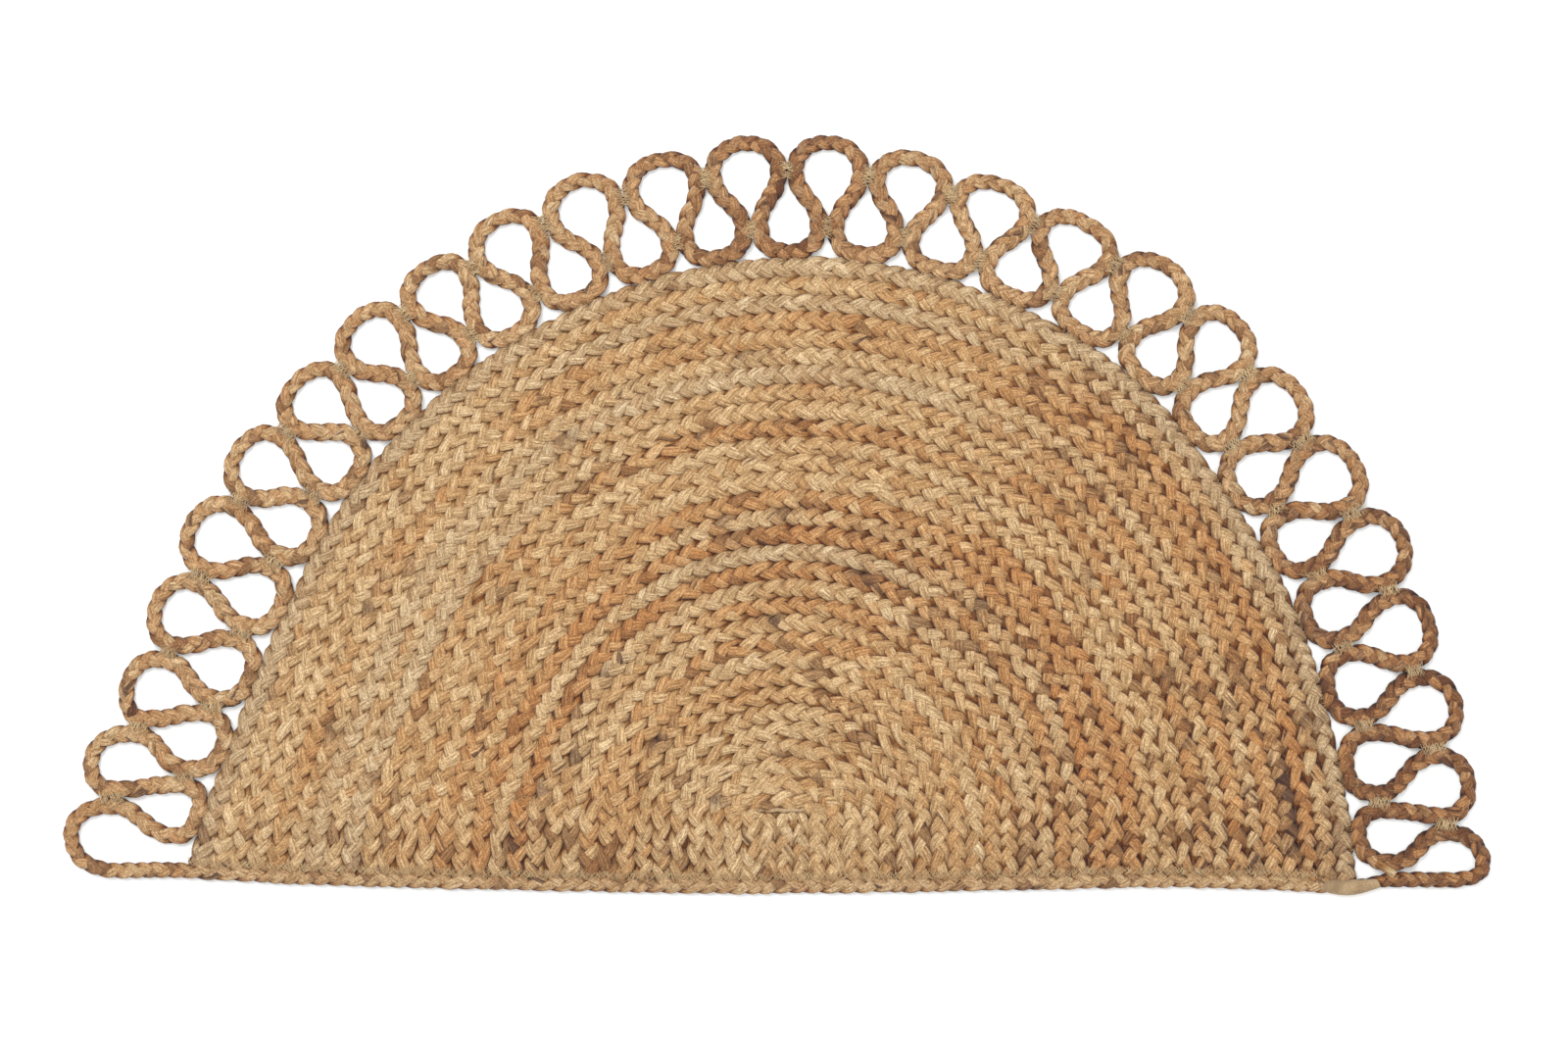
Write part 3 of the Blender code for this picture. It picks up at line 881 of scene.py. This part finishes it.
juteNoise = {  # frequencies along, across and through a strand, or along the axes, to a metre
    "warp": (260, 260, 260),
    "streaks": (70, 1050, 1050),
    "hairlines": (180, 3400, 3400),
    "specks": (800, 800, 800),
    "stretches": (14, 30, 30),
    "stains": (24, 160, 160),
}
juteTones = {  # value from and to, and the tone at each end
    "streaks": (0.37, 0.61, 0.52, 1.15),
    "hairlines": (0.34, 0.66, 0.76, 1.14),
    "specks": (0.36, 0.64, 0.68, 1.16),
    "stains": (0.35, 0.55, 0.75, 1.0),
    # painted shade at a leaf's tip, where it dives under another strand
    "leafTipShade": (0.78, 0.90, 1.0, 0.46),
    # painted shade along a strand's edges, where it meets its neighbours
    "strandEdgeShade": (0.80, 0.97, 1.0, 0.10),
    "roughness": (0.3, 0.7, 0.72, 0.9),
}
juteLight = {"stretches": 1.2, "leaves": 0.30, "rootShade": -0.22}  # what each adds to a strand's lightness; the part at a leaf's root is painted shade, where the leaf comes up from under the other strands
# ply: painted shade between a thread's plies, a little lighter on their crests; fine: specks in the fibre
threadTones = {"ply": (-1.0, 0.6, 0.78, 1.05), "fine": (0.3, 0.7, 0.78, 1.12)}
# bottom and top: heights between which the painted shade in the crevices fades out; fleck and stain are the
# yarn's own dark flecks and stains
rowLook = {"fleck": 0.70, "bottom": 2.6 * mm, "top": 5.6 * mm, "stain": "umber"}
cordLook = {"fleck": 0.68, "bottom": 2 * mm, "top": 7 * mm, "stain": "chestnut"}
redder = (0.85, 1.4, 2.2)  # powers for red, green and blue: the painted shade in the crevices is redder than what lies high, and the streaks' dark side is browner
browner = (0.85, 1.06, 1.36)  # and the streaks' dark side is browner


def juteMaterial(name, braid, look):
    values = {"Specular IOR Level": 0.35, "Sheen Weight": 0.15, "Sheen Roughness": 0.5}
    material, tree, shader = newMaterial(name, values)
    names = ("along", "strand", "row", "leaf", "pale", "rust", "ash", "dark", "brown")
    along, strand, row, leaf, pale, rust, ash, dark, brown = (attribute(tree, name) for name in names)
    along = timesPlus(row, 9.1, plus(along, times(strand, 3.7)))
    across, upright, _ = parts(attribute(tree, "ring", "Vector"))
    aside = times(across, braid["Strand width"] / 2)
    fibre = joined(along, aside, times(upright, braid["Strand thickness"] / 2))
    place = add(tree, "ShaderNodeTexCoord", output="Object")
    warp = times(noiseAt(place, juteNoise["warp"]), 0.7 * mm)
    fibre = vectors("ADD", fibre, scaled((0, 1, 1), warp))
    streaks = noiseAt(fibre, juteNoise["streaks"], 3.0, 0.75)
    hairlines = noiseAt(fibre, juteNoise["hairlines"], 2.0, 0.6)
    specks = noiseAt(place, juteNoise["specks"], 2.0, 0.7)
    stretches = noiseAt(fibre, juteNoise["stretches"], 1.0)
    stains = noiseAt(vectors("ADD", fibre, (5, 0, 0)), juteNoise["stains"])

    # Each leaf has its own tone, and its root lies deep, darkened with painted shade
    number = calc("FLOOR", leaf)
    inLeaf = calc("SUBTRACT", leaf, number)  # from 0.2, where a leaf comes up, to 0.75, its tip
    root = calc("SUBTRACT", 1.0, between(inLeaf, 0.10, 0.26))
    inputs = {"Vector": joined(number, strand, row)}
    chance = add(tree, "ShaderNodeTexWhiteNoise", inputs, "Value", noise_dimensions="3D")
    leafTone = calc("SUBTRACT", chance, 0.5)
    lighter = times(leafTone, juteLight["leaves"])
    lighter = timesPlus(calc("SUBTRACT", stretches, 0.5), juteLight["stretches"], lighter)
    lighter = timesPlus(root, juteLight["rootShade"], lighter)

    pale = calc("ADD", pale, times(lighter, 1.3), clamp=True)
    rust = calc("SUBTRACT", rust, times(lighter, 1.5), clamp=True)
    umber = between(timesPlus(dark, 0.06, stains), look["fleck"], look["fleck"] + 0.09, 0.0, 0.85)
    darkLeaf = calc("LESS_THAN", chance, times(dark, 0.10))
    side = calc("FLOORED_MODULO", number, 2.0)  # 1 for the leaves on the left side of a row
    brown = times(brown, timesPlus(side, 0.65, 0.35), between(stains, *juteTones["stains"]))
    base = yarnColour["golden"]
    for amount, yarn in (
        (pale, "pale"), (rust, "rust"), (ash, "ash"), (umber, "umber"), (times(darkLeaf, 0.5), "chestnut"),
        (brown, look["stain"]),
    ):
        base = blendColour(amount, base, yarnColour[yarn])

    grain = times(between(streaks, *juteTones["streaks"]), between(hairlines, *juteTones["hairlines"]))
    grain = times(grain, between(specks, *juteTones["specks"]), timesPlus(leafTone, 0.22, 1.0))
    # Painted shade: darker where the strands lie low, at each leaf's root and tip and along each strand's
    # edges, where the strands shade each other; it grows redder as it deepens, and stronger with the yarns'
    # dark amount
    depth = between(parts(place)[2], look["bottom"], look["top"], 0.14, 1.0)
    depth = times(depth, timesPlus(root, -0.66, 1.0), between(inLeaf, *juteTones["leafTipShade"]))
    depth = times(depth, between(calc("ABSOLUTE", across), *juteTones["strandEdgeShade"]))
    power = timesPlus(dark, 0.75, 0.42)
    paintedShade = joined(*[calc("POWER", depth, times(power, strength)) for strength in redder])
    warmth = joined(*[calc("POWER", grain, strength) for strength in browner])
    connect(shader["Base Color"], vectors("MULTIPLY", vectors("MULTIPLY", base, warmth), paintedShade))
    connect(shader["Roughness"], between(streaks, *juteTones["roughness"]))
    relief = plus(times(streaks, 0.7), times(hairlines, 0.3))
    connect(shader["Normal"], bumped(relief, 0.75, 0.9 * mm))
    return material


def threadMaterial(name, light, dark):
    values = {"Roughness": 0.85, "Specular IOR Level": 0.3, "Sheen Weight": 0.2}
    material, tree, shader = newMaterial(name, values)
    across, upright, _ = parts(attribute(tree, "ring", "Vector"))
    around = times(calc("ARCTAN2", upright, across), 2.0)
    ply = calc("SINE", timesPlus(attribute(tree, "along"), 2400.0, around))
    place = add(tree, "ShaderNodeTexCoord", output="Object")
    patches = noiseAt(place, (90, 90, 90))
    fine = noiseAt(place, (1400, 1400, 1400), 2.0, 0.6)
    base = blendColour(between(patches, 0.35, 0.7), yarnColour[light], yarnColour[dark])
    # painted shade between the thread's plies, a little lighter on their crests, times fine specks in the
    # fibre
    shade = times(between(ply, *threadTones["ply"]), between(fine, *threadTones["fine"]))
    connect(shader["Base Color"], scaled(base, shade))
    connect(shader["Normal"], bumped(timesPlus(ply, 0.5, fine), 0.6, 0.3 * mm))
    return material


def fibreMaterial():
    material, tree, shader = newMaterial("loose fibre", {"Roughness": 0.7, "Specular IOR Level": 0.4})
    tint = between(attribute(tree, "tint"), 0.0, 1.0)
    connect(shader["Base Color"], blendColour(tint, yarnColour["rust"], yarnColour["wisp"]))
    return material


# Sewn sheet under the strands, dark with painted shadow for the gaps between them

sewnCoil = {
    "inset": 0.992,  # of the edge, so that the outer row covers it
    "crest": 4.0 * mm,
    "groove": 3.4 * mm,
    "thickness": 2.2 * mm,
}


def coilSheet(material):  # ribbed sheet that the rows are sewn into, open nowhere
    rings = 2 * coil["rows"]
    lines = [coilLine(n / rings * sewnCoil["inset"]) for n in range(rings + 1)]
    points = []
    for n, line in enumerate(lines):
        height = sewnCoil["crest"] if n % 2 else sewnCoil["groove"]
        points += [(*(place + centre), height) for place, turn in line]
    count = len(lines[0])
    faces = []
    for n in range(rings):
        a = n * count
        b = a + count
        faces += [(a + i, a + i + 1, b + i + 1, b + i) for i in range(count - 1)]
    legs = coil["legSteps"]
    faces += [(i, count - 1 - i, count - 2 - i, i + 1) for i in range(legs - 1)]
    faces.append((legs - 1, *range(count - legs, legs - 1, -1)))
    mesh = bpy.data.meshes.new("coilSheet")
    mesh.from_pydata(points, [], faces)
    area = sum(polygon.area for polygon in mesh.polygons)
    sheet = newObject("coilSheet", mesh)
    shell = sheet.modifiers.new("thickness", "SOLIDIFY")
    shell.thickness = sewnCoil["thickness"]
    shell.offset = -1
    made = keepResult(sheet)
    made.shade_smooth()
    made.materials.append(material)
    return sheet, area


# Wound and sewn threads

windingSizes = {
    "Pitch": 1.0 * mm,
    "Width": 9.4 * mm,
    "Height": 7.4 * mm,
    "Middle height": 4.4 * mm,
    "Squareness": 0.75,
    "Thread": 1.1 * mm,
    "Jitter": 2.0 * mm,
    "Slant": 0.6 * mm,
    "Steps a turn": 10,
    "Sides": 4,
    "Seed": 2,
}
outerTies = {
    **windingSizes, "Pitch": 1.1 * mm, "Width": 9.0 * mm, "Height": 7.9 * mm, "Thread": 0.4 * mm,
    "Jitter": 3.4 * mm, "Slant": 2.0 * mm, "Steps a turn": 8, "Sides": 3, "Seed": 4,
}
innerTies = {**outerTies, "Width": 8.6 * mm, "Seed": 9}
tieVariety = {"halfLength": (5.0 * mm, 7.0 * mm), "size": (0.85, 1.12)}
footStitches = {
    **windingSizes, "Pitch": 1.6 * mm, "Width": 2.4 * mm, "Thread": 0.3 * mm, "Jitter": 3.4 * mm,
    "Seed": 15,
}
footSpread = {"halfTurn": 1.9, "inwards": 0.6 * mm, "steps": 5}  # halfTurn in degrees
seamStitches = {
    **windingSizes, "Pitch": 2.8 * mm, "Width": 4.6 * mm, "Height": 8.0 * mm, "Thread": 0.4 * mm,
    "Jitter": 4.4 * mm, "Slant": 2.2 * mm, "Steps a turn": 8, "Sides": 3, "Seed": 21,
}
seam = {"left": -384 * mm, "right": 342 * mm, "above": 0.4 * mm, "apart": 0.6 * mm, "steps": 80}
startThread = {
    **windingSizes, "Pitch": 9 * mm, "Width": 0.5 * mm, "Height": 0.3 * mm, "Middle height": 6.5 * mm,
    "Thread": 2.6 * mm, "Jitter": 0.5 * mm, "Sides": 8, "Seed": 30,
}
whipping = {
    **windingSizes, "Pitch": 0.55 * mm, "Width": 8.6 * mm, "Height": 7.8 * mm, "Squareness": 0.85,
    "Thread": 0.72 * mm, "Jitter": 0.16 * mm, "Slant": 0.9 * mm, "Steps a turn": 24, "Seed": 41,
}

# The whipping's place along the joint, its lower and its upper edge, in mm from the coil's centre
whippingEdges = (
    (345, -51.0, -47.0), (351, -53.6, -45.4), (361, -55.0, -45.0),
    (370, -54.0, -45.2), (378, -51.6, -44.8), (384, -49.6, -44.6),
)


def whippingBand(x):  # its middle there, and its width beside the full one
    low = smooth(x / mm, [(at, low) for at, low, high in whippingEdges]) * mm
    high = smooth(x / mm, [(at, high) for at, low, high in whippingEdges]) * mm
    return Vector((x, (low + high) / 2)), (high - low) / whipping["Width"]


def windingTree():  # a thread wound round each route
    tree, size, result = newTree("winding", windingSizes)
    line = resampled(size["Geometry"], calc("DIVIDE", size["Pitch"], size["Steps a turn"]))
    along = lengthAlong(tree)
    angle = times(calc("DIVIDE", along, size["Pitch"]), math.tau)
    cosine = calc("COSINE", angle)
    narrow = stored(tree, "narrow")
    sideways = times(boxed(cosine, size["Squareness"]), size["Width"], 0.5, narrow)
    upwards = times(boxed(calc("SINE", angle), size["Squareness"]), size["Height"], 0.5)
    upwards = timesPlus(upwards, narrow, size["Middle height"])
    place = position(tree)
    frequency = calc("DIVIDE", 0.6, size["Pitch"])
    jitter = times(wander(place, frequency, size["Seed"]), size["Jitter"])
    slant = times(size["Slant"], stored(tree, "lean"))
    onwards = timesPlus(cosine, slant, times(jitter, 2.0))
    sideways = timesPlus(wander(place, frequency, plus(size["Seed"], 50.0)), size["Jitter"], sideways)
    way = add(tree, "GeometryNodeInputTangent")
    offset = vectors("ADD", sideOffset(way, sideways, upwards), scaled(way, onwards))
    line = moved(line, Offset=offset)
    line = store(line, "along", lengthAlong(tree))
    ring = circle(tree, size["Sides"], times(size["Thread"], 0.5))
    ring = store(ring, "ring", vectors("NORMALIZE", position(tree)), "FLOAT_VECTOR")
    return finishTree(tree, size, result, swept(line, ring))


def threadRoute(places, narrow=None, lean=1.0):  # lean: which way the turns slant
    places = [(place + centre).to_3d() for place in places]
    narrow = narrow or [1.0] * len(places)
    return [{"place": place, "narrow": n, "lean": lean} for place, n in zip(places, narrow)]


def tieRoutes(turn, distance):  # short line along the touch of two loops, wound twice with turns that cross
    half = random.uniform(*tieVariety["halfLength"])
    size = random.uniform(*tieVariety["size"])
    places = [outward(turn) * (distance + half * n / 3) for n in range(-3, 4)]
    return [threadRoute(places, [size] * 7, lean) for lean in (1.0, -1.0)]


def footRoute(turn):  # along the edge of the coil under a loop's foot
    places = []
    steps = footSpread["steps"]
    for n in range(-steps, steps + 1):
        at = turn + footSpread["halfTurn"] * n / steps
        places.append(outward(at) * (edgeReach(at) - footSpread["inwards"]))
    return threadRoute(places)


def seamRoute(lean):  # along the seam of the binding
    xs = stepsBetween(seam["left"], seam["right"], seam["steps"])
    places = [Vector((x, cutEdgeY(x) + cord["width"] / 2 + seam["above"])) for x in xs]
    return threadRoute([place + Vector((seam["apart"] * lean, 0)) for place in places], lean=lean)


# Loose fibres

fibreSizes = {
    "Density": 9600.0,  # to a square metre
    "Least length": 3.0 * mm,
    "Most length": 9.0 * mm,
    "Slenderness": 0.013,
    "Turn": 1.0,  # radians either way from the row
    "Tilt": 0.22,
    "Lowest": 3.5 * mm,
    "Seed": 8,
}
seamFray = {
    **fibreSizes, "Density": 620000.0, "Least length": 2.6 * mm, "Most length": 5.6 * mm,
    "Slenderness": 0.034, "Turn": 0.75, "Tilt": 0.16, "Lowest": 0.0, "Seed": 12,
}
tieFray = {**seamFray, "Density": 400000.0, "Turn": 0.9, "Seed": 14}

# Edges of the strips that the frayed ends grow on: how far across from the stitched line, and how high
seamStrip = ((-1.6 * mm, 7.6 * mm), (2.6 * mm, 6.6 * mm))
tieStrip = ((-3.8 * mm, 7.9 * mm), (3.8 * mm, 7.9 * mm))


def frayStrips(routes, edges):  # narrow strips along stitched lines
    points = []
    ways = []
    faces = []
    for route in routes:
        heading = (route[-1]["place"] - route[0]["place"]).normalized()
        across = Vector((-heading.y, heading.x, 0))
        first = len(points)
        for point in route:
            for aside, height in edges:
                points.append(point["place"] + across * aside + Vector((0, 0, height)))
                ways += [*across]
        faces += [(n, n + 2, n + 3, n + 1) for n in range(first, len(points) - 2, 2)]
    mesh = bpy.data.meshes.new("fray strips")
    mesh.from_pydata(points, [], faces)
    mesh.attributes.new("way", "FLOAT_VECTOR", "POINT").data.foreach_set("vector", ways)
    return mesh


def fibreTree():  # bent hairs on the upper side of the strands
    tree, size, result = newTree("loose fibres", fibreSizes)
    facing = parts(add(tree, "GeometryNodeInputNormal"))[2]
    high = parts(position(tree))[2]
    chosen = times(calc("GREATER_THAN", facing, 0.1), calc("GREATER_THAN", high, size["Lowest"]))
    inputs = {name: size[name] for name in ("Density", "Seed")}
    inputs.update({"Mesh": size["Geometry"], "Selection": chosen})
    spots = add(tree, "GeometryNodeDistributePointsOnFaces", inputs, "Points")
    points = store(spots, "tint", randomBetween(tree, 0.0, 1.0, 1))
    normal = spots.node.outputs["Normal"]
    inputs = {"Primary Axis": normal, "Secondary Axis": stored(tree, "way", "FLOAT_VECTOR")}
    laid = add(tree, "FunctionNodeAxesToRotation", inputs, primary_axis="Z", secondary_axis="X")
    yaw = randomBetween(tree, times(size["Turn"], -1.0), size["Turn"], 2)
    flip = times(calc("GREATER_THAN", randomBetween(tree, 0.0, 1.0, 3), 0.5), math.pi)
    tilt = randomBetween(tree, times(size["Tilt"], -1.0), size["Tilt"], 4)
    swing = add(tree, "FunctionNodeEulerToRotation", {0: joined(0.0, tilt, plus(yaw, flip))})
    inputs = {"Rotation": laid, "Rotate By": swing}
    turned = add(tree, "FunctionNodeRotateRotation", inputs, rotation_space="LOCAL")

    bow = add(tree, "GeometryNodeCurveQuadraticBezier", {
        "Resolution": 3, "Start": (-0.5, 0, -0.02), "Middle": (0.1, 0.28, 0.14), "End": (0.5, -0.06, 0.03),
    })
    ring = circle(tree, 3, size["Slenderness"])
    taper = timesPlus(add(tree, "GeometryNodeSplineParameter", output="Factor"), -0.6, 1.0)
    length = randomBetween(tree, size["Least length"], size["Most length"], 5)
    inputs = {"Points": points, "Instance": swept(bow, ring, taper), "Rotation": turned, "Scale": length}
    return finishTree(tree, size, result, add(tree, "GeometryNodeInstanceOnPoints", inputs))


# The pieces

def own(piece, slot, *replaced):  # every piece rides on the one body of the rug
    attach(piece, "root")
    if replaced:
        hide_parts(*replaced)
    return piece


random.seed(5)
rowJute = juteMaterial("row jute", rowBraid, rowLook)
cordJute = juteMaterial("cord jute", cordBraid, cordLook)
seamJute = threadMaterial("seam thread", "straw", "oat")
tieJute = threadMaterial("tie thread", "straw", "wheat")
whippingJute = threadMaterial("whipping thread", "wheat", "hay")
# painted shadow: the sheet under the strands is coloured dark to stand for the shade seen in the gaps
# between them
gapShadowJute = threadMaterial("gap shadow jute", "shadowBark", "shadowTan")
fibreJute = fibreMaterial()

plait = braidTree()
rows = [dressRow(coilLine((row + 0.5) / coil["rows"]), row) for row in range(coil["rows"])]
shortRows = [dressRow(shortRow(n), 0) for n in range(coil["shortRows"])]
braids = []
for name, routes in (
    ("innerBraid", rows[:17] + shortRows),
    ("middleBraid", rows[17:25]),
    ("outerBraid", rows[25:]),
):
    braid = grow(name, routeMesh(name + " route", routes), plait, rowBraid, rowJute)
    braids.append(own(braid, "mat_jute"))
print("rows braided")

cordLine = routeMesh("cord route", [dressCord(cordRoute())])
loopedBraid = own(grow("loopedBraid", cordLine, plait, cordBraid, cordJute), "cord_jute", "looped_cord")
cutLine = routeMesh("cut end", [cutEndRoute()])
cordEnd = own(grow("cordEnd", cutLine, plait, cutStrand, cordJute), "cord_jute")
print("cord braided")

wind = windingTree()
outerRoutes = [route for k in range(len(loops) - 1) for route in tieRoutes(*outerTouch(k))]
innerRoutes = [route for k in range(1, len(loops) - 1) for route in tieRoutes(*innerTouch(k))]
footRoutes = [footRoute(foot) for tip, tipReach, foot in loops[:-1]]
seamRoutes = [seamRoute(lean) for lean in (1.0, -1.0)]
startRoute = threadRoute([Vector((x, 0)) for x in stepsBetween(-18 * mm, 19 * mm, 6)])
whippingXs = stepsBetween(joint["left"], joint["right"] + 4 * mm, 14)
whippingRoute = threadRoute(*zip(*[whippingBand(x) for x in whippingXs]))
for name, routes, sizes, material, *replaced in (
    ("outerTies", outerRoutes, outerTies, tieJute),
    ("innerTies", innerRoutes, innerTies, tieJute),
    ("footStitches", footRoutes, footStitches, whippingJute),
    ("seamStitches", seamRoutes, seamStitches, seamJute),
    ("startThread", [startRoute], startThread, whippingJute),
    ("jointWhipping", [whippingRoute], whipping, whippingJute, "end_whipping"),
):
    thread = grow(name, routeMesh(name + " route", routes), wind, sizes, material)
    own(thread, "thread_jute", *replaced)
print("threads sewn")

comb = fibreTree()
fibreNames = ("innerFibres", "middleFibres", "outerFibres", "cordFibres")
for seed, (name, piece) in enumerate(zip(fibreNames, braids + [loopedBraid])):
    fibre = grow(name, piece.data, comb, {**fibreSizes, "Seed": seed}, fibreJute)
    own(fibre, "cord_jute" if piece == loopedBraid else "mat_jute")
for name, routes, strip, sizes in (
    ("seamFibres", seamRoutes[:1], seamStrip, seamFray),
    ("tieFibres", outerRoutes[::2] + innerRoutes[::2], tieStrip, tieFray),
):
    own(grow(name, frayStrips(routes, strip), comb, sizes, fibreJute), "thread_jute")
print("fibres combed out")

sheet, sheetArea = coilSheet(gapShadowJute)
own(sheet, "mat_jute", "coiled_mat")


# Floor, light and camera

white = (1, 1, 1, 1)
half = studio["floorHalf"]
corners = [(-half, -half, 0), (half, -half, 0), (half, half, 0), (-half, half, 0)]
floorMesh = bpy.data.meshes.new("floor")
floorMesh.from_pydata(corners, [], [(0, 1, 2, 3)])
floor = newObject("floor", floorMesh)
floorPaper, _, _ = newMaterial("floor paper", {
    "Base Color": colour(*studio["floorShade"]),
    "Roughness": 0.9,
    "Emission Color": white,
    "Emission Strength": studio["floorGlow"],  # a lit table, so shadows stay faint
})
floorMesh.materials.append(floorPaper)

for name, place, size, watts in studio["lights"]:
    light = bpy.data.lights.new(name, "AREA")
    light.shape = "DISK"
    light.size = size
    light.energy = watts
    lamp = newObject(name, light)
    lamp.location = place
    lamp.rotation_euler = (-Vector(place)).to_track_quat("-Z", "Y").to_euler()  # at the rug's middle

world = bpy.data.worlds.new("studio")
bpy.context.scene.world = world
world.use_nodes = True
background = world.node_tree.nodes["Background"].inputs
background["Color"].default_value = white
background["Strength"].default_value = studio["skyGlow"]

cameraData = bpy.data.cameras.new("camera")
cameraData.lens = studio["lens"]
cameraData.sensor_width = studio["sensor"]
camera = newObject("camera", cameraData)
aside = (photoSize[0] / 2 - studio["rugMiddle"][0]) * studio["pixel"]
below = (photoSize[1] / 2 - studio["rugMiddle"][1]) * studio["pixel"]
distance = studio["lens"] / studio["sensor"] * photoSize[0] * studio["pixel"]
camera.location = (aside, -below, distance + cord["height"])
bpy.context.scene.camera = camera
bpy.context.scene.view_settings.view_transform = "Standard"
print("studio ready")
